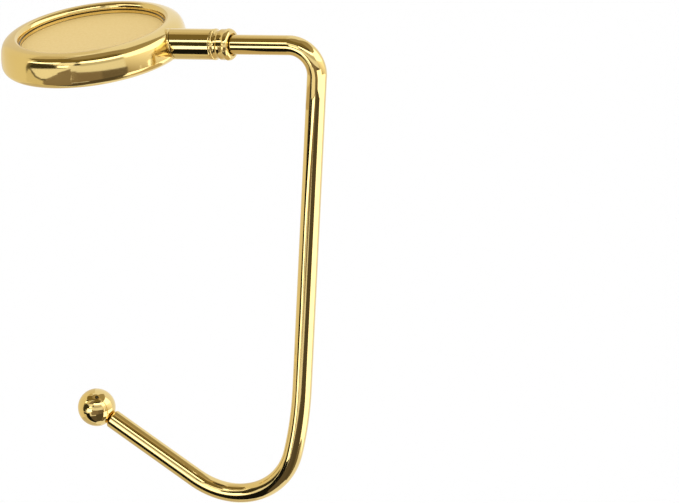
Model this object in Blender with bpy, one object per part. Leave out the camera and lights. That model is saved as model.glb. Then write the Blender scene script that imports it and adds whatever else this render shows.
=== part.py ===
"""A table hook for a bag: a round disc that lies on the table top, and a bent rod that swivels in its neck.

Metres, +Z up. The origin is the centre of the rubber pad's underside, which rests on the table.
The neck points along +X, and the hook hangs below the table top in the plane y = 0.
"""

import math

import bmesh
import bpy
from mathutils import Matrix, Vector

# The disc: a casting with a rounded rim round a shallow flat recess
DISC_RADIUS = 0.0225
DISC_THICKNESS = 0.00795
FOOT_ROUND = 0.0020
SLOPE_WIDTH = 0.0010
SLOPE_DROP = 0.0015
LEDGE_WIDTH = 0.00015
STEP_DROP = 0.00095

# The rim's outer side, from the crest outwards: arcs that run on into each other, each with its
# radius and the tilt it ends at. A last arc, the barrel, runs on from them to the foot's round.
CREST_ARC = 0.0044
CREST_TILT = math.radians(36)
SHOULDER_ARC = 0.0020
SHOULDER_TILT = math.radians(61)
FLANK_ARC = 0.0044
FLANK_TILT = math.radians(76)

# The pad under the disc, and the adhesive disc that holds it in its pocket
FOOT_WIDTH = 0.0018
PAD_THICKNESS = 0.0012
PAD_STAND = 0.0006
PAD_CHAMFER = 0.00015
ADHESIVE_INSET = 0.0010
ADHESIVE_THICKNESS = 0.0004
SEAT_GAP = 0.0002

# The neck: a low cast boss, a drawn tube pressed over its stub, and a turned collar in the tube's open end
BUSH_WALL = 0.0005
TUBE_WALL = 0.00062
BOSS_STAND = 0.00045
STUB_REACH = 0.0022
SPIGOT_LENGTH = 0.0039
THIN_BEAD_WIDTH = 0.0004
THIN_BEAD_STAND = 0.00006
GROOVE_WIDTH = 0.0016
GROOVE_DEPTH = 0.00033
LAND_WIDTH = 0.0014
END_BEAD_STAND = 0.00014
END_BEAD_RISE = 0.00025
END_BEAD_ROUND = 0.0011
END_BEAD_DROP = 0.00095
MOUTH_RELIEF = 0.00025
MOUTH_RELIEF_DEPTH = 0.0008
PRESS_GAP = 0.0001
SEAM_GAP = 0.00015

# The swivel inside the neck
RUNNING_GAP = 0.0001
END_PLAY = 0.0002
TAIL_BUSH_LENGTH = 0.0024
TAIL_CHAMFER = 0.0003
RING_THICKNESS = 0.0006
RING_GROOVE_DEPTH = 0.0005
RING_CLEARANCE = 0.0002
RING_MOUTH_ANGLE = math.radians(50)
WASHER_THICKNESS = 0.0004

# The rod: one bent round wire, from the collar's mouth to the ball
WIRE_RADIUS = 0.00235
MOUTH_TO_BEND = 0.0147
TOP_BEND_RADIUS = 0.0063
SHANK_LEAN = math.radians(11.6)
SHANK_LENGTH = 0.0822
BOW_RADIUS = 0.1047
BOW_ANGLE = math.radians(10.0)
LOWER_BEND_RADIUS = 0.0188
ARM_RISE = math.radians(35.6)
ARM_LENGTH = 0.0304
ROD_END_CHAMFER = 0.00035

# The ball: drilled, faced flat at the hole, and pressed on the rod's tenon
BALL_RADIUS = 0.0047
BALL_FLAT_DEPTH = 0.0002
TENON_RADIUS = 0.0010
TENON_LENGTH = 0.0030

# How finely round shapes are cut
DISC_SIDES = 72
NECK_SIDES = 32
WIRE_SIDES = 32
BALL_SIDES = 32
BALL_STEPS = 14
RIM_ARC_STEPS = 3
FOOT_STEPS = 4
SLOPE_STEPS = 4
BEAD_STEPS = 4
BEND_STEP = math.radians(8)
BOW_STEP = math.radians(2.5)
MERGE_DISTANCE = 1e-7
SHARP_ANGLE = math.radians(35)

# Heights and radii that follow from the sizes above
underside = PAD_STAND
crest = underside + DISC_THICKNESS
floor = crest - SLOPE_DROP - STEP_DROP
axis_height = underside + DISC_THICKNESS / 2
rim_arcs = [(CREST_ARC, 0, CREST_TILT), (SHOULDER_ARC, CREST_TILT, SHOULDER_TILT), (FLANK_ARC, SHOULDER_TILT, FLANK_TILT)]
upper_drop = sum(radius * (math.cos(first) - math.cos(last)) for radius, first, last in rim_arcs)
barrel_arc = (DISC_THICKNESS - FOOT_ROUND - upper_drop) / math.cos(FLANK_TILT)
rim_arcs.append((barrel_arc, FLANK_TILT, math.pi / 2))
crest_radius = DISC_RADIUS - sum(radius * (math.sin(last) - math.sin(first)) for radius, first, last in rim_arcs)
ledge_radius = crest_radius - SLOPE_WIDTH
recess_radius = ledge_radius - LEDGE_WIDTH
foot_radius = DISC_RADIUS - FOOT_ROUND
pocket_radius = foot_radius - FOOT_WIDTH
pad_radius = pocket_radius - SEAT_GAP
adhesive_radius = pad_radius - ADHESIVE_INSET
adhesive_bottom = PAD_THICKNESS + SEAT_GAP
pocket_ceiling = adhesive_bottom + ADHESIVE_THICKNESS + SEAT_GAP

bearing_radius = WIRE_RADIUS + RUNNING_GAP
bush_radius = bearing_radius + BUSH_WALL
bore_radius = bush_radius + PRESS_GAP
tube_radius = bore_radius + TUBE_WALL
ring_radius = bore_radius - RING_CLEARANCE
ring_groove_radius = WIRE_RADIUS - RING_GROOVE_DEPTH

# Places along the neck's axis, from the disc's centre outwards
boss_start = (pocket_radius + foot_radius) / 2
stub_end = DISC_RADIUS + STUB_REACH
tail_end = stub_end + END_PLAY
bush_end = tail_end + TAIL_BUSH_LENGTH
ring_start = bush_end + END_PLAY
ring_end = ring_start + RING_THICKNESS
washer_start = ring_end + END_PLAY
washer_end = washer_start + WASHER_THICKNESS
spigot_start = washer_end + END_PLAY
collar_start = spigot_start + SPIGOT_LENGTH
groove_start = collar_start + THIN_BEAD_WIDTH
land_start = groove_start + GROOVE_WIDTH
end_bead_start = land_start + LAND_WIDTH
mouth = end_bead_start + END_BEAD_RISE + END_BEAD_ROUND

ball_flat = BALL_RADIUS - BALL_FLAT_DEPTH
rod_shoulder = ball_flat + PRESS_GAP


def clear_scene():
    for old in list(bpy.data.objects):
        bpy.data.objects.remove(old, do_unlink=True)


def finish(name, color, metallic, roughness):
    """A plain material: its colour is linear red, green and blue."""
    material = bpy.data.materials.new(name)
    material.use_nodes = True
    shader = material.node_tree.nodes["Principled BSDF"]
    shader.inputs["Base Color"].default_value = (*color, 1.0)
    shader.inputs["Metallic"].default_value = metallic
    shader.inputs["Roughness"].default_value = roughness
    material.diffuse_color = (*color, 1.0)
    return material


def arc(centre, half_width, half_height, start, end, steps):
    """Points of an ellipse from one angle to another, both ends included; angle 0 points outwards."""
    points = []
    for step in range(steps + 1):
        angle = start + (end - start) * step / steps
        radius = centre[0] + half_width * math.cos(angle)
        points.append((radius, centre[1] + half_height * math.sin(angle)))
    return points


def add_object(name, mesh, material):
    """Closes a bmesh into an object, smooth where its faces meet at a shallow angle."""
    bmesh.ops.remove_doubles(mesh, verts=mesh.verts, dist=MERGE_DISTANCE)
    bmesh.ops.recalc_face_normals(mesh, faces=mesh.faces)
    data = bpy.data.meshes.new(name)
    mesh.to_mesh(data)
    mesh.free()
    data.materials.append(material)
    data.shade_smooth()
    data.set_sharp_from_angle(angle=SHARP_ANGLE)
    piece = bpy.data.objects.new(name, data)
    bpy.context.scene.collection.objects.link(piece)
    return piece


def turned(name, outline, sides, material, ring=False, sweep=2 * math.pi):
    """A piece turned about Z from an outline of (radius, height) points.

    The outline runs from axis to axis, or round the section of a ring. A sweep under a full turn
    leaves the ring open, and its two ends are closed with flat faces.
    """
    mesh = bmesh.new()
    corners = [mesh.verts.new((radius, 0, height)) for radius, height in outline]
    pairs = list(zip(corners, corners[1:]))
    if ring:
        pairs.append((corners[-1], corners[0]))
    edges = [mesh.edges.new(pair) for pair in pairs]
    bmesh.ops.spin(
        mesh,
        geom=corners + edges,
        cent=(0, 0, 0),
        axis=(0, 0, 1),
        angle=sweep,
        steps=sides,
        use_merge=sweep == 2 * math.pi,
    )
    bmesh.ops.remove_doubles(mesh, verts=mesh.verts, dist=MERGE_DISTANCE)
    bmesh.ops.holes_fill(mesh, edges=[edge for edge in mesh.edges if edge.is_boundary])
    return add_object(name, mesh, material)


def lay_along_neck(piece):
    """Turns a piece's own Z onto the neck's axis, with its zero at the disc's centre."""
    piece.rotation_euler = (0, math.pi / 2, 0)
    piece.location = (0, 0, axis_height)


def hide_tool(tool):
    """Marks an object that only cuts or joins others, and isn't a piece itself."""
    tool.hide_render = True
    tool.display_type = "WIRE"


def combine(piece, tool, operation):
    """Cuts a tool out of a piece, or joins it on."""
    modifier = piece.modifiers.new(f"{operation.lower()}_{tool.name}", "BOOLEAN")
    modifier.operation = operation
    modifier.object = tool
    hide_tool(tool)


def neck_bar(name, radius, start, end, material):
    """A round bar along the neck's axis."""
    bar = turned(name, [(0, end), (radius, end), (radius, start), (0, start)], NECK_SIDES, material)
    lay_along_neck(bar)
    return bar


def rim_outline(grow=0):
    """The rim's outer side, from the crest down to the underside, moved outwards by grow."""
    points = [(crest_radius, crest + grow)]
    for radius, first, last in rim_arcs:
        start_radius, start_height = points[-1]
        reach = radius + grow
        for step in range(1, RIM_ARC_STEPS + 1):
            tilt = first + (last - first) * step / RIM_ARC_STEPS
            outwards = reach * (math.sin(tilt) - math.sin(first))
            downwards = reach * (math.cos(first) - math.cos(tilt))
            points.append((start_radius + outwards, start_height - downwards))
    foot_centre = (foot_radius, underside + FOOT_ROUND)
    return points[:-1] + arc(foot_centre, FOOT_ROUND + grow, FOOT_ROUND + grow, 0, -math.pi / 2, FOOT_STEPS)


def rim_tool(name, grow, material):
    """A solid with the rim's outer side moved outwards by grow."""
    side = rim_outline(grow)
    return turned(name, [(0, side[0][1])] + side + [(0, side[-1][1])], DISC_SIDES, material)


def make_disc_body(gold):
    """The casting: recess, rim, pocket for the pad, and the boss and stub that carry the neck."""
    slope_centre = (crest_radius, crest - SLOPE_DROP)
    slope = arc(slope_centre, SLOPE_WIDTH, SLOPE_DROP, math.pi, math.pi / 2, SLOPE_STEPS)
    outline = [(0, floor), (recess_radius, floor), (recess_radius, floor + STEP_DROP)]
    outline += slope[:-1]
    outline += rim_outline()
    outline += [(pocket_radius, underside), (pocket_radius, pocket_ceiling), (0, pocket_ceiling)]
    disc = turned("disc_body", outline, DISC_SIDES, gold)

    boss = neck_bar("neck_boss_tool", tube_radius, boss_start, stub_end, gold)
    combine(boss, rim_tool("boss_reach_tool", BOSS_STAND, gold), "INTERSECT")
    combine(disc, boss, "UNION")
    combine(disc, neck_bar("neck_stub_tool", bore_radius - PRESS_GAP, foot_radius, stub_end, gold), "UNION")


def make_neck_tube(gold):
    """The plain tube, with its inner end coped to the boss's shape."""
    tube_end = collar_start - SEAM_GAP
    outline = [
        (bore_radius, crest_radius),
        (tube_radius, crest_radius),
        (tube_radius, tube_end),
        (bore_radius, tube_end),
    ]
    tube = turned("neck_tube", outline, NECK_SIDES, gold, ring=True)
    lay_along_neck(tube)

    combine(tube, rim_tool("tube_coping_tool", BOSS_STAND + SEAM_GAP, gold), "DIFFERENCE")


def make_swivel_collar(gold):
    """The turned collar: spigot, thin bead, groove, land, and the end bead with the mouth."""
    half_turn = math.pi
    thin_centre = (tube_radius, collar_start + THIN_BEAD_WIDTH / 2)
    groove_centre = (tube_radius, groove_start + GROOVE_WIDTH / 2)
    bead_radius = tube_radius + END_BEAD_STAND
    round_centre = (bead_radius - END_BEAD_DROP, mouth - END_BEAD_ROUND)
    spigot_radius = bore_radius - PRESS_GAP

    outline = [(bearing_radius, spigot_start), (spigot_radius, spigot_start), (spigot_radius, collar_start)]
    outline += arc(thin_centre, THIN_BEAD_STAND, THIN_BEAD_WIDTH / 2, -half_turn / 2, half_turn / 2, BEAD_STEPS)
    groove = arc(groove_centre, -GROOVE_DEPTH, GROOVE_WIDTH / 2, -half_turn / 2, half_turn / 2, BEAD_STEPS)
    outline += groove[1:]
    outline.append((tube_radius, end_bead_start))
    outline += arc(round_centre, END_BEAD_DROP, END_BEAD_ROUND, 0, half_turn / 2, BEAD_STEPS)
    relief_radius = bearing_radius + MOUTH_RELIEF
    relief_start = mouth - MOUTH_RELIEF_DEPTH
    outline += [(relief_radius, mouth), (relief_radius, relief_start), (bearing_radius, relief_start)]
    collar = turned("swivel_collar", outline, NECK_SIDES, gold, ring=True)
    lay_along_neck(collar)


def make_tail_bush(plastic):
    """The plain sleeve that centres the rod's tail in the tube."""
    outline = [
        (bearing_radius, tail_end),
        (bush_radius, tail_end),
        (bush_radius, bush_end),
        (bearing_radius, bush_end),
    ]
    lay_along_neck(turned("tail_bush", outline, NECK_SIDES, plastic, ring=True))


def make_pad(rubber, adhesive):
    """The rubber pad, and the adhesive disc between it and the pocket's ceiling."""
    pad_outline = [
        (0, PAD_THICKNESS),
        (pad_radius, PAD_THICKNESS),
        (pad_radius, PAD_CHAMFER),
        (pad_radius - PAD_CHAMFER, 0),
        (0, 0),
    ]
    turned("non_slip_pad", pad_outline, DISC_SIDES, rubber)
    adhesive_top = adhesive_bottom + ADHESIVE_THICKNESS
    adhesive_outline = [
        (0, adhesive_top),
        (adhesive_radius, adhesive_top),
        (adhesive_radius, adhesive_bottom),
        (0, adhesive_bottom),
    ]
    turned("pad_adhesive", adhesive_outline, DISC_SIDES, adhesive)


def forward(heading):
    """The direction along the rod: heading 0 is +X, and a growing heading turns down and back."""
    return Vector((math.cos(heading), 0, -math.sin(heading)))


def inward(heading):
    """The direction across the rod, towards the inside of its bends."""
    return Vector((-math.sin(heading), 0, -math.cos(heading)))


def run_straight(path, length):
    point, heading = path[-1]
    path.append((point + forward(heading) * length, heading))


def run_bend(path, radius, angle, largest_step):
    point, heading = path[-1]
    centre = point + inward(heading) * radius
    steps = math.ceil(angle / largest_step)
    for step in range(1, steps + 1):
        turned_heading = heading + angle * step / steps
        path.append((centre - inward(turned_heading) * radius, turned_heading))


def rod_path():
    """The rod's centre line from the collar's mouth to the chamfer of its end at the ball."""
    path = [(Vector((mouth, 0, 0)), 0)]
    shank_heading = math.pi / 2 + SHANK_LEAN
    arm_heading = math.pi + ARM_RISE
    run_straight(path, MOUTH_TO_BEND)
    run_bend(path, TOP_BEND_RADIUS, shank_heading, BEND_STEP)
    run_straight(path, SHANK_LENGTH)
    run_bend(path, BOW_RADIUS, BOW_ANGLE, BOW_STEP)
    run_bend(path, LOWER_BEND_RADIUS, arm_heading - shank_heading - BOW_ANGLE, BEND_STEP)
    run_straight(path, ARM_LENGTH - rod_shoulder - ROD_END_CHAMFER)
    return path


def rod_sections():
    """Each round section of the rod: its centre, heading and radius, from the tail to the tenon."""
    tail = [
        (tail_end, WIRE_RADIUS - TAIL_CHAMFER),
        (tail_end + TAIL_CHAMFER, WIRE_RADIUS),
        (ring_start - RUNNING_GAP, WIRE_RADIUS),
        (ring_start - RUNNING_GAP, ring_groove_radius),
        (ring_end + RUNNING_GAP, ring_groove_radius),
        (ring_end + RUNNING_GAP, WIRE_RADIUS),
    ]
    sections = [(Vector((place, 0, 0)), 0, radius) for place, radius in tail]
    path = rod_path()
    sections += [(point, heading, WIRE_RADIUS) for point, heading in path]
    chamfer_start, heading = path[-1]
    shoulder = chamfer_start + forward(heading) * ROD_END_CHAMFER
    tenon_end = shoulder + forward(heading) * TENON_LENGTH
    sections.append((shoulder, heading, WIRE_RADIUS - ROD_END_CHAMFER))
    sections += [(shoulder, heading, TENON_RADIUS), (tenon_end, heading, TENON_RADIUS)]
    return sections


def section_place(centre, heading, radius):
    """The matrix that takes a circle of radius 1 about Z to one section of the rod."""
    turn = Matrix((inward(heading), Vector((0, 1, 0)), forward(heading))).transposed().to_4x4()
    return Matrix.Translation(centre) @ turn @ Matrix.Diagonal((radius, radius, 1, 1))


def make_hook_rod(gold, swivel):
    """The rod: one circle drawn out from section to section, closed at the tail and the tenon."""
    mesh = bmesh.new()
    places = [section_place(*section) for section in rod_sections()]
    start = bmesh.ops.create_circle(mesh, segments=WIRE_SIDES, radius=1, matrix=places[0])
    ring = list({edge for corner in start["verts"] for edge in corner.link_edges})
    for old, new in zip(places, places[1:]):
        drawn = bmesh.ops.extrude_edge_only(mesh, edges=ring)["geom"]
        corners = {item for item in drawn if isinstance(item, bmesh.types.BMVert)}
        bmesh.ops.transform(mesh, matrix=new @ old.inverted(), verts=list(corners))
        edges = [item for item in drawn if isinstance(item, bmesh.types.BMEdge)]
        ring = [edge for edge in edges if corners.issuperset(edge.verts)]
    bmesh.ops.holes_fill(mesh, edges=[edge for edge in mesh.edges if edge.is_boundary])
    rod = add_object("hook_rod", mesh, gold)
    rod.parent = swivel


def make_ball_tip(gold, swivel):
    """The ball, turned about the arm's line, with its flat and hole towards the rod."""
    flat_radius = math.sqrt(BALL_RADIUS**2 - ball_flat**2)
    flat_angle = math.atan2(ball_flat, flat_radius)
    hole_radius = TENON_RADIUS + PRESS_GAP
    hole_bottom = rod_shoulder - TENON_LENGTH - END_PLAY
    outline = arc((0, 0), BALL_RADIUS, BALL_RADIUS, -math.pi / 2, flat_angle, BALL_STEPS)
    outline[0] = (0, -BALL_RADIUS)
    outline += [(hole_radius, ball_flat), (hole_radius, hole_bottom), (0, hole_bottom)]
    ball = turned("ball_tip", outline, BALL_SIDES, gold)
    chamfer_start, heading = rod_path()[-1]
    ball.parent = swivel
    ball.location = chamfer_start + forward(heading) * (ROD_END_CHAMFER + rod_shoulder)
    ball.rotation_euler = Vector((0, 0, 1)).rotation_difference(-forward(heading)).to_euler()


def make_retainers(steel, swivel):
    """The open spring ring in the rod's groove, and the washer between it and the collar."""
    ring_inner = ring_groove_radius + RUNNING_GAP
    ring_outline = [
        (ring_inner, ring_start),
        (ring_radius, ring_start),
        (ring_radius, ring_end),
        (ring_inner, ring_end),
    ]
    sweep = 2 * math.pi - RING_MOUTH_ANGLE
    ring = turned("retaining_ring", ring_outline, NECK_SIDES, steel, ring=True, sweep=sweep)
    ring.data.transform(Matrix.Rotation(RING_MOUTH_ANGLE / 2, 4, "Z"))
    washer_outline = [
        (bearing_radius, washer_start),
        (ring_radius, washer_start),
        (ring_radius, washer_end),
        (bearing_radius, washer_end),
    ]
    washer = turned("thrust_washer", washer_outline, NECK_SIDES, steel, ring=True)
    for piece in (ring, washer):
        piece.parent = swivel
        piece.rotation_euler = (0, math.pi / 2, 0)


def main():
    clear_scene()
    gold = finish("polished_gold", (0.80, 0.60, 0.24), 1.0, 0.08)
    steel = finish("spring_steel", (0.56, 0.56, 0.55), 1.0, 0.30)
    plastic = finish("natural_nylon", (0.82, 0.80, 0.72), 0.0, 0.50)
    rubber = finish("black_rubber", (0.030, 0.030, 0.032), 0.0, 0.80)
    adhesive = finish("white_adhesive", (0.78, 0.77, 0.74), 0.0, 0.70)

    make_disc_body(gold)
    make_neck_tube(gold)
    make_swivel_collar(gold)
    make_tail_bush(plastic)
    make_pad(rubber, adhesive)

    swivel = bpy.data.objects.new("hook_swivel", None)
    swivel.location = (0, 0, axis_height)
    bpy.context.scene.collection.objects.link(swivel)
    make_hook_rod(gold, swivel)
    make_ball_tip(gold, swivel)
    make_retainers(steel, swivel)


main()
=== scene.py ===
"""Looks for the table hook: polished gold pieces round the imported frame, and the studio they stand in."""

import math

import bmesh
import bpy
from mathutils import Euler, Matrix, Vector


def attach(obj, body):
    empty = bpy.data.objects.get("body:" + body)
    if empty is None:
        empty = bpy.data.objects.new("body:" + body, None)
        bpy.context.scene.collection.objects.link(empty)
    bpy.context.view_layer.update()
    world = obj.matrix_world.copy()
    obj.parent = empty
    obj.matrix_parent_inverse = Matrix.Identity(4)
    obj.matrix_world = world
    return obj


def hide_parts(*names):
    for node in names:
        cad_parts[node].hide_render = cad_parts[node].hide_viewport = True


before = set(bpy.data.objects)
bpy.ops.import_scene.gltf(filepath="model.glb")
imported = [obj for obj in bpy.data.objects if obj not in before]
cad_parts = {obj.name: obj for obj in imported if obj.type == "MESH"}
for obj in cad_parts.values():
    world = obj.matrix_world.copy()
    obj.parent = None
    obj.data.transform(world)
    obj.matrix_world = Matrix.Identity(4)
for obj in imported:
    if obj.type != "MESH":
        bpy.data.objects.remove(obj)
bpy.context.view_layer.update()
MM = 0.001

# The disc and its recess
DISC_RADIUS = 22.5 * MM
DISC_THICKNESS = 7.95 * MM
FOOT_ROUND = 2.0 * MM
SLOPE_WIDTH = 1.0 * MM
SLOPE_DROP = 1.5 * MM
LEDGE_WIDTH = 0.15 * MM
STEP_DROP = 0.95 * MM
STEP_FILLET = 0.07 * MM

# The rim's outer side, from the crest outwards: arcs that run on into each other, each with its
# radius and the tilt it ends at. A last arc, the barrel, runs on from them to the foot's round.
CREST_ARC = 4.4 * MM
CREST_TILT = math.radians(36)
SHOULDER_ARC = 2.0 * MM
SHOULDER_TILT = math.radians(61)
FLANK_ARC = 4.4 * MM
FLANK_TILT = math.radians(76)

# The pad in the disc's underside
FOOT_WIDTH = 1.8 * MM
PAD_THICKNESS = 1.2 * MM
PAD_STAND = 0.6 * MM
PAD_ROUND = 0.15 * MM
PAD_GAP = 0.2 * MM
POCKET_CEILING = 2.0 * MM

# The neck's tube and collar; places are measured from the disc's centre
BEARING_RADIUS = 2.45 * MM
STUB_RADIUS = 2.95 * MM
STUB_END = 24.7 * MM
TUBE_BORE = 3.05 * MM
TUBE_RADIUS = 3.67 * MM
TUBE_END = 32.65 * MM
BOSS_START = 19.6 * MM
BOSS_STAND = 0.45 * MM
BOSS_EDGE = 0.15 * MM
COPE_GAP = 0.15 * MM
TUBE_EDGE = 0.09 * MM
SPIGOT_START = 28.9 * MM
COLLAR_START = 32.8 * MM
THIN_BEAD_WIDTH = 0.4 * MM
THIN_BEAD_STAND = 0.06 * MM
GROOVE_WIDTH = 1.6 * MM
GROOVE_DEPTH = 0.33 * MM
LAND_WIDTH = 1.4 * MM
END_BEAD_STAND = 0.14 * MM
END_BEAD_RISE = 0.25 * MM
END_BEAD_ROUND = 1.1 * MM
END_BEAD_DROP = 0.95 * MM
MOUTH_RELIEF = 0.25 * MM
MOUTH_RELIEF_DEPTH = 0.8 * MM

# The rod
WIRE_RADIUS = 2.35 * MM
TAIL_END = 24.9 * MM
TAIL_CHAMFER = 0.3 * MM
RING_GROOVE_START = 27.4 * MM
RING_GROOVE_END = 28.2 * MM
RING_GROOVE_RADIUS = 1.85 * MM
TOP_BEND_START = 52.25 * MM
TOP_BEND_RADIUS = 6.3 * MM
SHANK_LEAN = math.radians(11.6)
SHANK_LENGTH = 82.2 * MM
BOW_RADIUS = 104.7 * MM
BOW_ANGLE = math.radians(10.0)
LOWER_BEND_RADIUS = 18.8 * MM
ARM_RISE = math.radians(35.6)
ARM_LENGTH = 30.4 * MM
ROD_END_CHAMFER = 0.35 * MM

# The ball
BALL_RADIUS = 4.7 * MM
BALL_FLAT = 4.5 * MM
BALL_GAP = 0.1 * MM
TENON_RADIUS = 1.0 * MM
TENON_LENGTH = 3.0 * MM

# Heights and radii that follow
UNDERSIDE = PAD_STAND
CREST = UNDERSIDE + DISC_THICKNESS
FLOOR = CREST - SLOPE_DROP - STEP_DROP
AXIS_HEIGHT = UNDERSIDE + DISC_THICKNESS / 2
RIM_ARCS = [
    (CREST_ARC, 0.0, CREST_TILT),
    (SHOULDER_ARC, CREST_TILT, SHOULDER_TILT),
    (FLANK_ARC, SHOULDER_TILT, FLANK_TILT),
]
UPPER_DROP = sum(radius * (math.cos(first) - math.cos(last)) for radius, first, last in RIM_ARCS)
BARREL_ARC = (DISC_THICKNESS - FOOT_ROUND - UPPER_DROP) / math.cos(FLANK_TILT)
RIM_ARCS.append((BARREL_ARC, FLANK_TILT, math.pi / 2))
RIM_WIDTH = sum(radius * (math.sin(last) - math.sin(first)) for radius, first, last in RIM_ARCS)
CREST_RADIUS = DISC_RADIUS - RIM_WIDTH
LEDGE_RADIUS = CREST_RADIUS - SLOPE_WIDTH
RECESS_RADIUS = LEDGE_RADIUS - LEDGE_WIDTH
FOOT_RADIUS = DISC_RADIUS - FOOT_ROUND
POCKET_RADIUS = FOOT_RADIUS - FOOT_WIDTH
MOUTH = COLLAR_START + THIN_BEAD_WIDTH + GROOVE_WIDTH + LAND_WIDTH + END_BEAD_RISE + END_BEAD_ROUND

# How finely the round shapes are cut
DISC_STEPS = 288
NECK_STEPS = 128
WIRE_STEPS = 64
BALL_STEPS = 96
ARC_STEPS = 14
EDGE_STEPS = 5
PAD_EDGE_STEPS = 4
FILLET_STEPS = 3
BEND_STEP = math.radians(2.5)
BOW_STEP = math.radians(1.0)
SHARP_ANGLE = math.radians(32)
MERGE = 1e-7
HOOP_REACH = 1e-6
QUARTER = math.pi / 2

# Finishes: the two colours that each is clouded between, the gloss, and how fine its grain is
GOLD = ((0.80, 0.61, 0.25), (0.785, 0.592, 0.236))
GOLD_CLOUD = 90
GOLD_SCRATCH = 900
SCRATCH_STRETCH = (1, 1, 6)
# Painted shade: the dark colour painted in lines on the head and the foot of the recess's step, and each
# line's half width
STEP_PAINTED_SHADE = (0.06, 0.045, 0.02)
STEP_SHADE_HALF_WIDTH = 0.08 * MM
SATIN = ((0.87, 0.65, 0.252), (0.837, 0.617, 0.233))
SATIN_GRAIN = 1500
SATIN_METALLIC = 0.25
SATIN_ROUGHNESS = (0.5, 0.6)
RUBBER = ((0.018, 0.018, 0.019), (0.045, 0.044, 0.043))
RUBBER_GRAIN = 2600
RUBBER_ROUGHNESS = (0.62, 0.85)
RUBBER_BUMP = 0.4
RUBBER_BUMP_HEIGHT = 0.08 * MM
WHITE = (1, 1, 1, 1)
BLACK = (0, 0, 0, 1)
STEEL = ((0.55, 0.55, 0.56), (0.47, 0.47, 0.47))
NYLON = ((0.82, 0.80, 0.72), (0.76, 0.74, 0.66))
FOAM = ((0.78, 0.77, 0.74), (0.70, 0.69, 0.66))
# The part of a noise texture's range that the clouds and grains are spread from
NOISE_FOOT = 0.3
NOISE_HEAD = 0.7

# The camera: its lens and sensor in mm, its place, and how far it is tilted up from looking
# straight down, rolled, and then turned about Z
LENS = 223.33
SENSOR_WIDTH = 36.0
NEAREST = 10 * MM
FARTHEST = 20000 * MM
CAMERA_PLACE = Vector((495.0 * MM, -827.48 * MM, 303.74 * MM))
CAMERA_TILT = math.radians(69.238234)
CAMERA_ROLL = math.radians(7.902345)
CAMERA_HEADING = math.radians(24.882667)

# The studio: the floor, and the cards that the polish shows
FLOOR_HEIGHT = -1500 * MM
FLOOR_HALF_SIZE = 6000 * MM
FLOOR_ROUGHNESS = 0.9
CARD_CENTRE = Vector((20 * MM, 0, -50 * MM))
CARD_STEPS = 24
# The direction in which a card with two lights brightens
BRIGHTENS = (0, 0.55, 1)
# Each card's name, then its side, foot and head in degrees at its first edge and at its last, its
# distance in metres and its light, which may be followed by the light at its bright end
CARDS = [
    ("left_far", (-150, -75, 58), (-128, -75, 58), 1.35, (0.83, 0.77, 0.65)),
    ("left_wall", (-128, -34, 48), (-64, -34, 48), 1.35, (0.9, 0.83, 0.64)),
    ("left_low", (-128, -75, -34), (-64, -75, -34), 1.35, (0.68, 0.62, 0.5)),
    ("left_top", (-128, 48, 68), (-100, 48, 68), 1.35, (0.66, 0.58, 0.42)),
    ("left_skirt", (-64, -60, -4), (-45, -60, -12), 1.34, (0.8, 0.73, 0.54)),
    ("ceiling", (-180, 70, 89.9), (180, 70, 89.9), 1.34, (0.38, 0.32, 0.22)),
    ("front_ceiling", (-100, 45, 74), (75, 45, 74), 1.32, (0.22, 0.17, 0.07)),
    ("right_ceiling", (70, 38, 72), (165, 38, 72), 1.33, (0.42, 0.36, 0.23)),
    ("dark_line", (-68, 30, 47), (8, 38, 47), 1.31, (0.06, 0.05, 0.03)),
    ("dark_line_right", (8, 42, 54), (66, 34, 50), 1.31, (0.05, 0.04, 0.02)),
    ("strip_left", (-66, 26.5, 36), (-26, 38.5, 49.5), 0.55, (2.9, 2.9, 2.9)),
    ("strip_middle", (-29, 28, 43), (0, 28, 42), 1.21, (1.25, 1.25, 1.2)),
    ("strip_right", (6, 35.5, 45), (66, 31, 40), 0.6, (3.2, 3.2, 3.2)),
    ("left_flag", (-64, 3, 31), (-8, 3, 31), 1.25, (0.05, 0.045, 0.025)),
    ("left_edge", (-64, -6, 24), (-58, -6, 24), 1.24, (0.15, 0.13, 0.08)),
    ("shank_line", (-60, -20, -12), (-38, -21, -12), 1.25, (0.01, 0.01, 0.01)),
    ("left_dark", (-62, -8, 12), (-43, -10, 3), 1.26, (0.05, 0.045, 0.03)),
    ("low_patch", (-33, -11, 9), (-5, -8, 9), 0.6, (2.8, 2.8, 2.8)),
    ("mid_patch", (-20, 15, 25), (-6, 15, 25), 1.2, (2.7, 2.7, 2.7)),
    ("slot", (1, 22, 33), (9, 22, 33), 1.2, (0.04, 0.04, 0.04)),
    ("cream_right", (9, 16, 33), (64, 14, 25), 1.23, (0.66, 0.64, 0.6)),
    ("taupe_middle", (-10, -27, 6), (4, -27, 5), 1.19, (0.28, 0.23, 0.18)),
    ("taupe_right", (4, -27, 3), (34, -24, 0), 1.22, (0.26, 0.21, 0.165)),
    ("taupe_far_right", (34, -24, 0), (66, -24, -3), 1.22, (0.18, 0.15, 0.12)),
    ("right_box", (66, 18, 38), (136, 5, 38), 1.3, (2.2, 2.2, 2.2)),
    ("right_box_foot", (66, -50, -20), (136, -50, -20), 1.3, (2.2, 2.2, 2.2)),
    ("right_tan", (64, -20, 20), (136, -20, 8), 1.31, (0.34, 0.26, 0.15), (1.7, 1.66, 1.55)),
    ("front_floor", (-48, -76, -30), (-20, -76, -30), 1.25, (0.01, 0.01, 0.01)),
    ("front_floor_middle", (-20, -76, -31), (16, -76, -31), 1.25, (0.12, 0.1, 0.08)),
    ("front_floor_left", (-46, -32, -17), (-20, -32, -12), 1.26, (0.01, 0.01, 0.01)),
    ("front_floor_right", (16, -76, -24), (66, -76, -24), 1.25, (0.1, 0.085, 0.065)),
    ("right_floor", (58, -78, -50), (96, -78, -50), 1.2, (0.2, 0.17, 0.12)),
]
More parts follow.
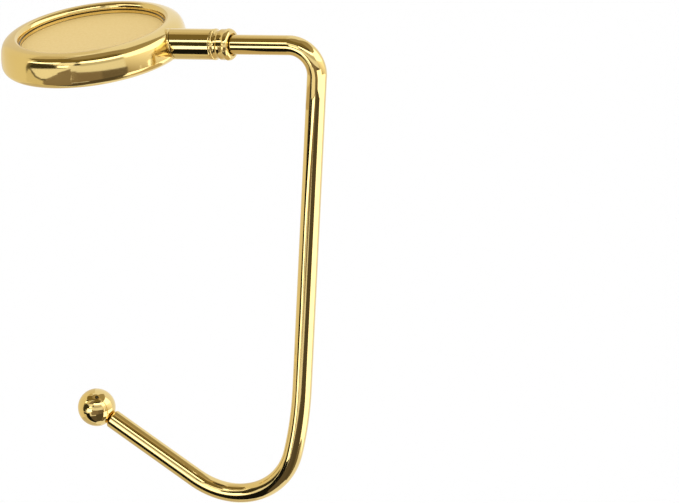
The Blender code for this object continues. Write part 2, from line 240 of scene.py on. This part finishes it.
# Small boards close to the hook: each one's name, its light and its corners, each as mm across,
# forward of the neck's line and up
BOARDS = [
    ("cream_board", (1.05, 1.04, 1.0),
     [(-49, 50, 7), (-27, 50, 8.8), (-12, 50, 9.9), (2, 50, 10.8), (1, 50, 8.1), (-4.4, 50, 5.4),
      (-12.6, 50, 0.9), (-20, 50, -3), (-27.3, 50, -4), (-36, 50, -2), (-41, 50, 2.7)]),
    ("dark_board", (0.1, 0.09, 0.07),
     [(-56, 50.3, 10), (-27, 50.3, 8.8), (-20, 50.3, -3), (-22, 50.3, -5.6), (-28, 50.3, -6.6),
      (-39, 50.3, -4.6), (-46, 50.3, 0.5)]),
    ("taupe_board", (0.28, 0.23, 0.18),
     [(-30, 50.6, 9), (-4, 50.6, 8), (-4, 50.6, -10), (-12, 50.6, -30), (-20, 50.6, -50),
      (-44, 50.6, -50), (-27, 50.6, -9), (-26, 50.6, -6)]),
    ("gold_board", (0.8, 0.73, 0.54),
     [(-60, 50.9, 5), (-26, 50.9, 5), (-26, 50.9, -12), (-40, 50.9, -45), (-100, 50.9, -45)]),
    ("gap_board", (0.28, 0.23, 0.18),
     [(-0.5, 30, 5), (5.2, 30, 6.9), (4.2, 30, -3), (3, 30, -12), (-6, 30, -12), (-1.5, 30, -3)]),
    ("shank_board", (2.8, 2.8, 2.8),
     [(53, 15, -13), (60, 15, -13), (56, 15, -21.5), (45.6, 15, -43), (42, 15, -56),
      (40.5, 15, -69), (31, 15, -108), (25, 15, -108), (36, 15, -69), (37, 15, -56),
      (39.7, 15, -43), (50.4, 15, -21.5)]),
    ("bend_board", (1.1, 1.08, 1.02),
     [(48, 16, -3), (59, 16, -3), (59, 16, -12.9), (48, 16, -12.9)]),
    ("bend_board_right", (2.2, 2.2, 2.2),
     [(62.5, 7, -2), (70, 3, -2), (70, 3, -14), (66, 5.1, -13), (62.5, 7, -9)]),
    ("foot_board", (0.64, 0.53, 0.36),
     [(24, 17, -12), (30, 17, -12), (36, 11, -12), (50, 6, -12), (50, -5, -12), (24, -5, -12)]),
]

ALONG_NECK = Matrix.Translation((0, 0, AXIS_HEIGHT)) @ Matrix.Rotation(QUARTER, 4, "Y")


def arc(centre, half_width, half_height, start, end, steps=ARC_STEPS):
    """Points of an ellipse's arc in a turned piece's section; angle 0 points away from the axis."""
    points = []
    for step in range(steps + 1):
        angle = start + (end - start) * step / steps
        points.append((centre[0] + half_width * math.cos(angle), centre[1] + half_height * math.sin(angle)))
    return points


def close_up(mesh):
    """Merges doubles, fills open ends and turns the faces outwards."""
    bmesh.ops.remove_doubles(mesh, verts=mesh.verts, dist=MERGE)
    bmesh.ops.holes_fill(mesh, edges=[edge for edge in mesh.edges if edge.is_boundary])
    bmesh.ops.recalc_face_normals(mesh, faces=mesh.faces)


def add_piece(name, mesh, material, body, node):
    """Makes a bmesh an object that rides on a body and stands for a CAD node."""
    data = bpy.data.meshes.new(name)
    mesh.to_mesh(data)
    mesh.free()
    data.materials.append(material)
    data.shade_smooth()
    data.set_sharp_from_angle(angle=SHARP_ANGLE)
    piece = bpy.data.objects.new(name, data)
    bpy.context.scene.collection.objects.link(piece)
    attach(piece, body)
    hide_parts(node)
    return piece


def turned(outline, steps, ring=False):
    """A bmesh turned about Z from an outline of (radius, height) points."""
    mesh = bmesh.new()
    corners = [mesh.verts.new((radius, 0, height)) for radius, height in outline]
    pairs = list(zip(corners, corners[1:]))
    if ring:
        pairs.append((corners[-1], corners[0]))
    edges = [mesh.edges.new(pair) for pair in pairs]
    bmesh.ops.spin(
        mesh,
        geom=corners + edges,
        cent=(0, 0, 0),
        axis=(0, 0, 1),
        angle=2 * math.pi,
        steps=steps,
        use_merge=True,
    )
    close_up(mesh)
    return mesh


def ring_edges(mesh, radius, height):
    """The edges of the hoop at one radius and height of a turned mesh."""
    found = set()
    for corner in mesh.verts:
        off_radius = math.hypot(corner.co.x, corner.co.y) - radius
        off_height = corner.co.z - height
        if abs(off_radius) < HOOP_REACH and abs(off_height) < HOOP_REACH:
            found.add(corner)
    return [edge for edge in mesh.edges if found.issuperset(edge.verts)]


def soften(mesh, hoops, width):
    """Rounds the hoops of a turned mesh, given as (radius, height) points."""
    edges = [edge for hoop in hoops for edge in ring_edges(mesh, *hoop)]
    bmesh.ops.bevel(
        mesh,
        geom=edges,
        offset=width,
        segments=FILLET_STEPS,
        affect="EDGES",
        profile=0.5,
        material=-1,
    )


def rim_side(grow=0.0):
    """The rim's outer side from the crest to the underside, moved outwards by grow."""
    points = [(CREST_RADIUS, CREST + grow)]
    for radius, first, last in RIM_ARCS:
        start_radius, start_height = points[-1]
        reach = radius + grow
        for step in range(1, ARC_STEPS + 1):
            tilt = first + (last - first) * step / ARC_STEPS
            outwards = reach * (math.sin(tilt) - math.sin(first))
            downwards = reach * (math.cos(first) - math.cos(tilt))
            points.append((start_radius + outwards, start_height - downwards))
    foot_centre = (FOOT_RADIUS, UNDERSIDE + FOOT_ROUND)
    return points[:-1] + arc(foot_centre, FOOT_ROUND + grow, FOOT_ROUND + grow, 0, -QUARTER)


def make_disc(gold, satin):
    """The casting: the rim, the recess with its satin floor, the pad's pocket, the stub and the boss."""
    slope = arc((CREST_RADIUS, CREST - SLOPE_DROP), SLOPE_WIDTH, SLOPE_DROP, math.pi, QUARTER)
    outline = [(0, FLOOR), (RECESS_RADIUS, FLOOR), (RECESS_RADIUS, FLOOR + STEP_DROP)]
    outline += slope[:-1] + rim_side()
    outline += [(POCKET_RADIUS, UNDERSIDE), (POCKET_RADIUS, POCKET_CEILING), (0, POCKET_CEILING)]
    mesh = turned(outline, DISC_STEPS)
    step = [(RECESS_RADIUS, FLOOR), (RECESS_RADIUS, FLOOR + STEP_DROP), (LEDGE_RADIUS, FLOOR + STEP_DROP)]
    soften(mesh, step, STEP_FILLET)
    disc = add_piece("disc_casting", mesh, gold, "base", "disc_body")

    stub_outline = [(0, STUB_END), (STUB_RADIUS, STUB_END), (STUB_RADIUS, FOOT_RADIUS), (0, FOOT_RADIUS)]
    stub = turned(stub_outline, NECK_STEPS)
    bmesh.ops.transform(stub, matrix=ALONG_NECK, verts=stub.verts)
    join_solid(disc, stub)
    join_solid(disc, neck_ring(boss_sections(), BOSS_STAND))
    disc.data.materials.append(satin)
    floor_radius = RECESS_RADIUS - STEP_FILLET
    for face in disc.data.polygons:
        centre = face.center
        if abs(centre.z - FLOOR) < MERGE and math.hypot(centre.x, centre.y) < floor_radius:
            face.material_index = 1


def join_solid(piece, mesh):
    """Joins a bmesh to a piece as one solid."""
    data = bpy.data.meshes.new("join_tool")
    mesh.to_mesh(data)
    mesh.free()
    tool = bpy.data.objects.new("join_tool", data)
    bpy.context.scene.collection.objects.link(tool)
    modifier = piece.modifiers.new("join", "BOOLEAN")
    modifier.operation = "UNION"
    modifier.object = tool
    depsgraph = bpy.context.evaluated_depsgraph_get()
    joined = bpy.data.meshes.new_from_object(piece.evaluated_get(depsgraph), depsgraph=depsgraph)
    piece.modifiers.remove(modifier)
    piece.data = joined
    bpy.data.objects.remove(tool)


def rim_reach(height, side):
    """How far the rim's side stands from the disc's centre line at one height."""
    for (high_radius, high), (low_radius, low) in zip(side, side[1:]):
        if low <= height <= high:
            share = (high - height) / (high - low)
            return high_radius + (low_radius - high_radius) * share
    return DISC_RADIUS


def cope(corners, gap, extra):
    """Moves the corners of a bar's end along the neck until they stand a gap off the rim's side."""
    side = rim_side(gap)
    for corner in corners:
        reach = rim_reach(corner.co.z, side)
        corner.co.x = math.sqrt(reach**2 - corner.co.y**2) + extra


def draw_out(mesh, ring, old, new):
    """Extrudes a ring of edges from one section's place to the next.

    It returns the new ring and its corners.
    """
    drawn = bmesh.ops.extrude_edge_only(mesh, edges=ring)["geom"]
    corners = [item for item in drawn if isinstance(item, bmesh.types.BMVert)]
    edges = [item for item in drawn if isinstance(item, bmesh.types.BMEdge)]
    bmesh.ops.transform(mesh, matrix=new @ old.inverted(), verts=corners)
    reached = set(corners)
    return [edge for edge in edges if reached.issuperset(edge.verts)], corners


def neck_place(place, radius):
    """The matrix that takes a circle of radius 1 about Z to a round section of the neck."""
    turn = Matrix.Rotation(QUARTER, 4, "Y")
    return Matrix.Translation((place, 0, AXIS_HEIGHT)) @ turn @ Matrix.Diagonal((radius, radius, 1, 1))


def neck_ring(sections, gap):
    """A ring about the neck, drawn through sections that stand square or are coped to the rim.

    Each section is its kind, its radius, and its place or, where it is coped, its way past the gap.
    """
    mesh = bmesh.new()
    places = []
    for kind, radius, value in sections:
        places.append(neck_place(value if kind == "square" else DISC_RADIUS, radius))
    bmesh.ops.create_circle(mesh, segments=NECK_STEPS, radius=1, matrix=places[0])
    hoops = [list(mesh.verts)]
    first_ring = ring = list(mesh.edges)
    for old, new in zip(places, places[1:]):
        ring, corners = draw_out(mesh, ring, old, new)
        hoops.append(corners)
    for (kind, _, value), corners in zip(sections, hoops):
        if kind == "coped":
            cope(corners, gap, value)
    bmesh.ops.bridge_loops(mesh, edges=first_ring + ring)
    close_up(mesh)
    return mesh


def make_tube(gold):
    """The neck's tube, coped to the boss at its inner end, with both ends' edges just broken."""
    sections = [
        ("coped", TUBE_BORE, 0.0),
        ("coped", TUBE_RADIUS - TUBE_EDGE, 0.0),
        ("coped", TUBE_RADIUS, TUBE_EDGE),
        ("square", TUBE_RADIUS, TUBE_END - TUBE_EDGE),
        ("square", TUBE_RADIUS - TUBE_EDGE, TUBE_END),
        ("square", TUBE_BORE, TUBE_END),
    ]
    mesh = neck_ring(sections, BOSS_STAND + COPE_GAP)
    add_piece("neck_sleeve", mesh, gold, "base", "neck_tube")


def boss_sections():
    """The boss's sections: a ring sunk in the casting, with a rounded edge round its coped end."""
    inside = STUB_RADIUS - COPE_GAP
    sections = [("square", inside, BOSS_START), ("square", TUBE_RADIUS, BOSS_START)]
    edge_centre = (TUBE_RADIUS - BOSS_EDGE, -BOSS_EDGE)
    for radius, back in arc(edge_centre, BOSS_EDGE, BOSS_EDGE, 0, QUARTER, EDGE_STEPS):
        sections.append(("coped", radius, back))
    sections.append(("coped", inside, 0.0))
    return sections


def make_collar(gold):
    """The collar with its spigot, thin bead, groove, land and end bead, and the relief in its mouth."""
    thin_centre = (TUBE_RADIUS, COLLAR_START + THIN_BEAD_WIDTH / 2)
    groove_start = COLLAR_START + THIN_BEAD_WIDTH
    groove_centre = (TUBE_RADIUS, groove_start + GROOVE_WIDTH / 2)
    end_bead_start = groove_start + GROOVE_WIDTH + LAND_WIDTH
    bead_radius = TUBE_RADIUS + END_BEAD_STAND
    round_centre = (bead_radius - END_BEAD_DROP, MOUTH - END_BEAD_ROUND)
    outline = [(BEARING_RADIUS, SPIGOT_START), (STUB_RADIUS, SPIGOT_START), (STUB_RADIUS, COLLAR_START)]
    outline += arc(thin_centre, THIN_BEAD_STAND, THIN_BEAD_WIDTH / 2, -QUARTER, QUARTER)
    outline += arc(groove_centre, -GROOVE_DEPTH, GROOVE_WIDTH / 2, -QUARTER, QUARTER)[1:]
    outline.append((TUBE_RADIUS, end_bead_start))
    outline += arc(round_centre, END_BEAD_DROP, END_BEAD_ROUND, 0, QUARTER)
    relief_radius = BEARING_RADIUS + MOUTH_RELIEF
    relief_start = MOUTH - MOUTH_RELIEF_DEPTH
    outline += [(relief_radius, MOUTH), (relief_radius, relief_start), (BEARING_RADIUS, relief_start)]
    mesh = turned(outline, NECK_STEPS, ring=True)
    bmesh.ops.transform(mesh, matrix=ALONG_NECK, verts=mesh.verts)
    add_piece("collar_turning", mesh, gold, "base", "swivel_collar")


def forward(heading):
    """The direction along the rod: heading 0 is +X, and a growing heading turns down and back."""
    return Vector((math.cos(heading), 0, -math.sin(heading)))


def inward(heading):
    """The direction across the rod, towards the inside of its bends."""
    return Vector((-math.sin(heading), 0, -math.cos(heading)))


def run_bend(path, radius, angle, largest_step):
    """Adds a bend to the rod's centre line, a list of points with their headings."""
    point, heading = path[-1]
    centre = point + inward(heading) * radius
    steps = math.ceil(angle / largest_step)
    for step in range(1, steps + 1):
        turned_heading = heading + angle * step / steps
        path.append((centre - inward(turned_heading) * radius, turned_heading))


def run_straight(path, length):
    """Adds a straight stretch to the rod's centre line."""
    point, heading = path[-1]
    path.append((point + forward(heading) * length, heading))


def rod_path():
    """The rod's centre line from the collar's mouth to the chamfer of its end at the ball."""
    path = [(Vector((MOUTH, 0, AXIS_HEIGHT)), 0.0)]
    shank_heading = QUARTER + SHANK_LEAN
    arm_heading = math.pi + ARM_RISE
    run_straight(path, TOP_BEND_START - MOUTH)
    run_bend(path, TOP_BEND_RADIUS, shank_heading, BEND_STEP)
    run_straight(path, SHANK_LENGTH)
    run_bend(path, BOW_RADIUS, BOW_ANGLE, BOW_STEP)
    run_bend(path, LOWER_BEND_RADIUS, arm_heading - shank_heading - BOW_ANGLE, BEND_STEP)
    run_straight(path, ARM_LENGTH - BALL_FLAT - BALL_GAP - ROD_END_CHAMFER)
    return path


def section_place(centre, heading, radius):
    """The matrix that takes a circle of radius 1 about Z to one section of the rod."""
    turn = Matrix((inward(heading), Vector((0, 1, 0)), forward(heading))).transposed().to_4x4()
    return Matrix.Translation(centre) @ turn @ Matrix.Diagonal((radius, radius, 1, 1))


def make_rod(gold):
    """The rod, drawn out of one circle from its tail in the neck to its tenon in the ball."""
    tail = [
        (TAIL_END, WIRE_RADIUS - TAIL_CHAMFER),
        (TAIL_END + TAIL_CHAMFER, WIRE_RADIUS),
        (RING_GROOVE_START, WIRE_RADIUS),
        (RING_GROOVE_START, RING_GROOVE_RADIUS),
        (RING_GROOVE_END, RING_GROOVE_RADIUS),
        (RING_GROOVE_END, WIRE_RADIUS),
    ]
    places = [section_place(Vector((place, 0, AXIS_HEIGHT)), 0.0, radius) for place, radius in tail]
    path = rod_path()
    places += [section_place(point, heading, WIRE_RADIUS) for point, heading in path]
    chamfer_start, heading = path[-1]
    shoulder = chamfer_start + forward(heading) * ROD_END_CHAMFER
    places.append(section_place(shoulder, heading, WIRE_RADIUS - ROD_END_CHAMFER))
    places.append(section_place(shoulder, heading, TENON_RADIUS))
    places.append(section_place(shoulder + forward(heading) * TENON_LENGTH, heading, TENON_RADIUS))

    mesh = bmesh.new()
    bmesh.ops.create_circle(mesh, segments=WIRE_STEPS, radius=1, matrix=places[0])
    ring = list(mesh.edges)
    for old, new in zip(places, places[1:]):
        ring, _ = draw_out(mesh, ring, old, new)
    close_up(mesh)
    add_piece("hook_wire", mesh, gold, "hook", "hook_rod")


def make_ball(gold):
    """The ball, turned about the arm's line, with its flat and hole towards the rod."""
    flat_radius = math.sqrt(BALL_RADIUS**2 - BALL_FLAT**2)
    flat_angle = math.atan2(BALL_FLAT, flat_radius)
    hole_radius = TENON_RADIUS + BALL_GAP
    hole_bottom = BALL_FLAT - TENON_LENGTH - BALL_GAP
    outline = arc((0, 0), BALL_RADIUS, BALL_RADIUS, -QUARTER, flat_angle, BALL_STEPS // 2)
    outline[0] = (0, -BALL_RADIUS)
    outline += [(hole_radius, BALL_FLAT), (hole_radius, hole_bottom), (0, hole_bottom)]
    mesh = turned(outline, BALL_STEPS)
    chamfer_start, heading = rod_path()[-1]
    centre = chamfer_start + forward(heading) * (ROD_END_CHAMFER + BALL_FLAT + BALL_GAP)
    turn = Vector((0, 0, 1)).rotation_difference(-forward(heading)).to_matrix().to_4x4()
    bmesh.ops.transform(mesh, matrix=Matrix.Translation(centre) @ turn, verts=mesh.verts)
    add_piece("ball_end", mesh, gold, "hook", "ball_tip")


def make_pad(rubber):
    """The pad, with its lower edge just rounded."""
    pad_radius = POCKET_RADIUS - PAD_GAP
    outline = [(0, PAD_THICKNESS), (pad_radius, PAD_THICKNESS)]
    round_centre = (pad_radius - PAD_ROUND, PAD_ROUND)
    outline += arc(round_centre, PAD_ROUND, PAD_ROUND, 0, -QUARTER, PAD_EDGE_STEPS)
    outline.append((0, 0))
    add_piece("foot_pad", turned(outline, DISC_STEPS), rubber, "base", "non_slip_pad")


class Nodes:
    """A material's node tree, with short calls to add and join nodes."""

    def __init__(self, name):
        self.material = bpy.data.materials.new(name)
        self.material.use_nodes = True
        self.tree = self.material.node_tree
        self.shader = self.tree.nodes["Principled BSDF"]
        self.place = self.add("ShaderNodeTexCoord").outputs["Object"]

    def add(self, kind, inputs=None, **settings):
        """A new node with its settings made and its inputs fed."""
        node = self.tree.nodes.new(kind)
        for key, value in settings.items():
            setattr(node, key, value)
        for key, value in (inputs or {}).items():
            self.feed(value, node.inputs[key])
        return node

    def feed(self, value, socket):
        """Links another node's output to the socket, or sets a plain value on it."""
        if isinstance(value, bpy.types.NodeSocket):
            self.tree.links.new(value, socket)
        else:
            socket.default_value = value

    def noise(self, scale, detail, stretch=(1, 1, 1)):
        """Noise on Object coordinates."""
        mapping = self.add("ShaderNodeMapping", {"Vector": self.place, "Scale": stretch})
        inputs = {"Vector": mapping.outputs["Vector"], "Scale": scale, "Detail": detail}
        return self.add("ShaderNodeTexNoise", inputs).outputs["Fac"]

    def spread(self, noise, low, high):
        """The noise, spread out over the range from low to high."""
        source = {"Value": noise, "From Min": NOISE_FOOT, "From Max": NOISE_HEAD}
        target = {"To Min": low, "To Max": high}
        return self.add("ShaderNodeMapRange", source | target).outputs["Result"]

    def tint(self, share, first, second):
        """A blend of two colours, or of one colour's socket and a colour."""
        blend = self.add("ShaderNodeMix", {"Factor": share}, data_type="RGBA")
        for socket, colour in (("A", first), ("B", second)):
            whole = colour if isinstance(colour, bpy.types.NodeSocket) else (*colour, 1)
            self.feed(whole, blend.inputs[socket])
        return blend.outputs["Result"]

    def calculate(self, operation, *values):
        """The result of a math node."""
        return self.add("ShaderNodeMath", dict(enumerate(values)), operation=operation).outputs["Value"]

    def bump(self, height, strength, distance):
        """Lets a height roughen the finish's surface."""
        node = self.add("ShaderNodeBump", {"Height": height, "Strength": strength, "Distance": distance})
        self.feed(node.outputs["Normal"], self.shader.inputs["Normal"])


def gold_plating(name, smoothest, roughest, step=False):
    """Polished gold plating, with a faint cloud in its colour and gloss.

    Where step is asked for, dark lines of painted shade are painted on the head and the foot of the
    recess's step.
    """
    nodes = Nodes(name)
    nodes.shader.inputs["Metallic"].default_value = 1.0
    cloud = nodes.noise(GOLD_CLOUD, detail=3)
    colour = nodes.tint(nodes.spread(cloud, 0, 1), *GOLD)
    # Painted shade in dark lines on the recess's step
    if step:
        colour = nodes.tint(painted_step_shade_mask(nodes), colour, STEP_PAINTED_SHADE)
    nodes.feed(colour, nodes.shader.inputs["Base Color"])
    scratch = nodes.noise(GOLD_SCRATCH, detail=4, stretch=SCRATCH_STRETCH)
    nodes.feed(nodes.spread(scratch, smoothest, roughest), nodes.shader.inputs["Roughness"])
    return nodes.material


def painted_step_shade_mask(nodes):
    """1 on the head and the foot of the recess's step, where shade is painted, and 0 elsewhere."""
    parts = nodes.add("ShaderNodeSeparateXYZ", {"Vector": nodes.place}).outputs
    flat = nodes.add("ShaderNodeCombineXYZ", {"X": parts["X"], "Y": parts["Y"]}).outputs["Vector"]
    reach = nodes.add("ShaderNodeVectorMath", {0: flat}, operation="LENGTH").outputs["Value"]
    near = nodes.calculate("LESS_THAN", reach, LEDGE_RADIUS + STEP_SHADE_HALF_WIDTH)
    head_height = FLOOR + STEP_DROP - STEP_SHADE_HALF_WIDTH
    head = nodes.calculate("COMPARE", parts["Z"], head_height, STEP_SHADE_HALF_WIDTH * 2)
    foot = nodes.calculate("COMPARE", parts["Z"], FLOOR, STEP_SHADE_HALF_WIDTH)
    return nodes.calculate("MULTIPLY", near, nodes.calculate("MAXIMUM", head, foot))


def satin_gold():
    """The recess's floor: the same gold, but sprayed satin, so that it mirrors nothing sharply."""
    nodes = Nodes("satin_gold")
    grain = nodes.noise(SATIN_GRAIN, detail=3)
    nodes.feed(nodes.tint(nodes.spread(grain, 0, 1), *SATIN), nodes.shader.inputs["Base Color"])
    nodes.shader.inputs["Metallic"].default_value = SATIN_METALLIC
    nodes.feed(nodes.spread(grain, *SATIN_ROUGHNESS), nodes.shader.inputs["Roughness"])
    return nodes.material


def black_rubber():
    """The pad's matt rubber, with a fine grain."""
    nodes = Nodes("pad_rubber")
    grain = nodes.noise(RUBBER_GRAIN, detail=4)
    nodes.feed(nodes.tint(nodes.spread(grain, 0, 1), *RUBBER), nodes.shader.inputs["Base Color"])
    nodes.feed(nodes.spread(grain, *RUBBER_ROUGHNESS), nodes.shader.inputs["Roughness"])
    nodes.bump(grain, RUBBER_BUMP, RUBBER_BUMP_HEIGHT)
    return nodes.material


def hidden_finish(name, colours, metallic, roughness, scale):
    """A finish for the pieces inside the neck and under the disc."""
    nodes = Nodes(name)
    nodes.shader.inputs["Metallic"].default_value = metallic
    cloud = nodes.noise(scale, detail=3)
    nodes.feed(nodes.tint(nodes.spread(cloud, 0, 1), *colours), nodes.shader.inputs["Base Color"])
    nodes.feed(nodes.spread(cloud, *roughness), nodes.shader.inputs["Roughness"])
    return nodes.material


def dress_node(node, material):
    """Gives a CAD node that shows as it is its finish."""
    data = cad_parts[node].data
    data.materials.clear()
    data.materials.append(material)


def set_camera():
    """The camera at the photo's viewing angle, as fitted to the outline of the hook."""
    data = bpy.data.cameras.new("camera")
    data.lens = LENS
    data.sensor_width = SENSOR_WIDTH
    data.clip_start = NEAREST
    data.clip_end = FARTHEST
    camera = bpy.data.objects.new("camera", data)
    camera.location = CAMERA_PLACE
    camera.rotation_euler = Euler((CAMERA_TILT, CAMERA_ROLL, CAMERA_HEADING))
    bpy.context.scene.collection.objects.link(camera)
    bpy.context.scene.camera = camera


def add_stage(name, mesh, material):
    """Makes a bmesh a part of the studio."""
    data = bpy.data.meshes.new(name)
    mesh.to_mesh(data)
    mesh.free()
    data.materials.append(material)
    stage = bpy.data.objects.new(name, data)
    bpy.context.scene.collection.objects.link(stage)
    return stage


def make_floor():
    """A wide white floor of matt paper, far below the hanging hook."""
    mesh = bmesh.new()
    bmesh.ops.create_grid(mesh, x_segments=1, y_segments=1, size=FLOOR_HALF_SIZE)
    bmesh.ops.translate(mesh, vec=(0, 0, FLOOR_HEIGHT), verts=mesh.verts)
    material = bpy.data.materials.new("floor_paper")
    material.use_nodes = True
    shader = material.node_tree.nodes["Principled BSDF"]
    shader.inputs["Base Color"].default_value = WHITE
    shader.inputs["Roughness"].default_value = FLOOR_ROUGHNESS
    add_stage("studio_floor", mesh, material)


def glow(name, light, bright_end=None, corners=()):
    """A material that gives off light: an even one, or one that brightens upwards and backwards."""
    material = bpy.data.materials.new(name)
    material.use_nodes = True
    nodes, links = material.node_tree.nodes, material.node_tree.links
    shader = nodes["Principled BSDF"]
    shader.inputs["Base Color"].default_value = BLACK
    shader.inputs["Specular IOR Level"].default_value = 0
    strength = max(light + (bright_end or light))
    shader.inputs["Emission Strength"].default_value = strength
    dim_colour = [part / strength for part in light] + [1]
    shader.inputs["Emission Color"].default_value = dim_colour
    if bright_end:
        place = nodes.new("ShaderNodeTexCoord")
        climb = nodes.new("ShaderNodeVectorMath")
        climb.operation = "DOT_PRODUCT"
        climb.inputs[1].default_value = BRIGHTENS
        share = nodes.new("ShaderNodeMapRange")
        climbs = [Vector(BRIGHTENS).dot(corner) for corner in corners]
        share.inputs["From Min"].default_value = min(climbs)
        share.inputs["From Max"].default_value = max(climbs)
        blend = nodes.new("ShaderNodeMix")
        blend.data_type = "RGBA"
        blend.inputs["A"].default_value = dim_colour
        blend.inputs["B"].default_value = [part / strength for part in bright_end] + [1]
        links.new(place.outputs["Object"], climb.inputs[0])
        links.new(climb.outputs["Value"], share.inputs["Value"])
        links.new(share.outputs["Result"], blend.inputs["Factor"])
        links.new(blend.outputs["Result"], shader.inputs["Emission Color"])
    return material


def show_in_polish(name, mesh, material):
    """Puts a card in the studio that only the polish sees."""
    card = add_stage(name, mesh, material)
    card.visible_camera = False
    card.visible_diffuse = False
    card.visible_shadow = False


def make_card(name, first, last, distance, light, bright_end=None):
    """A curved softbox or dark card round the hook, which shows in its polish only.

    Each edge is a side, a foot and a head in degrees as seen from the hook: side 0 is -Y, and a
    growing side turns to +X.
    """
    mesh = bmesh.new()
    bmesh.ops.create_grid(mesh, x_segments=CARD_STEPS, y_segments=CARD_STEPS, size=1)
    for corner in mesh.verts:
        along, up = (1 + corner.co.x) / 2, (1 + corner.co.y) / 2
        angles = (start + (end - start) * along for start, end in zip(first, last))
        side, foot, head = map(math.radians, angles)
        height = foot + (head - foot) * up
        reach = distance * math.cos(height)
        offset = Vector((reach * math.sin(side), -reach * math.cos(side), distance * math.sin(height)))
        corner.co = offset + CARD_CENTRE
    show_in_polish(name, mesh, glow(name, light, bright_end, [corner.co for corner in mesh.verts]))


def make_board(name, light, corners):
    """A small flat board close to the hook, which shows in its polish only."""
    mesh = bmesh.new()
    ring = [mesh.verts.new((across * MM, -forward * MM, up * MM)) for across, forward, up in corners]
    edges = [mesh.edges.new(ends) for ends in zip(ring, ring[1:] + ring[:1])]
    bmesh.ops.triangle_fill(mesh, edges=edges, use_beauty=True)
    show_in_polish(name, mesh, glow(name, light))


def make_world():
    """A white room: the background and the polish see white, and it lights the rest evenly."""
    world = bpy.data.worlds.new("studio")
    world.use_nodes = True
    background = world.node_tree.nodes["Background"]
    background.inputs["Color"].default_value = WHITE
    background.inputs["Strength"].default_value = 1.0
    bpy.context.scene.world = world


gold = gold_plating("turned_gold", smoothest=0.04, roughest=0.08)
# The cast gold carries painted shade on the recess's step
make_disc(gold_plating("cast_gold", smoothest=0.08, roughest=0.12, step=True), satin_gold())
make_tube(gold)
make_collar(gold)
make_rod(gold)
make_ball(gold)
make_pad(black_rubber())

steel = hidden_finish("spring_steel", STEEL, metallic=1.0, roughness=(0.25, 0.4), scale=1500)
nylon = hidden_finish("natural_nylon", NYLON, metallic=0.0, roughness=(0.45, 0.6), scale=600)
foam = hidden_finish("adhesive_foam", FOAM, metallic=0.0, roughness=(0.7, 0.9), scale=1200)
dress_node("retaining_ring", steel)
dress_node("thrust_washer", steel)
dress_node("tail_bush", nylon)
dress_node("pad_adhesive", foam)

set_camera()
make_floor()
for card in CARDS:
    make_card(*card)
for board in BOARDS:
    make_board(*board)
make_world()
bpy.context.scene.view_settings.view_transform = "Standard"
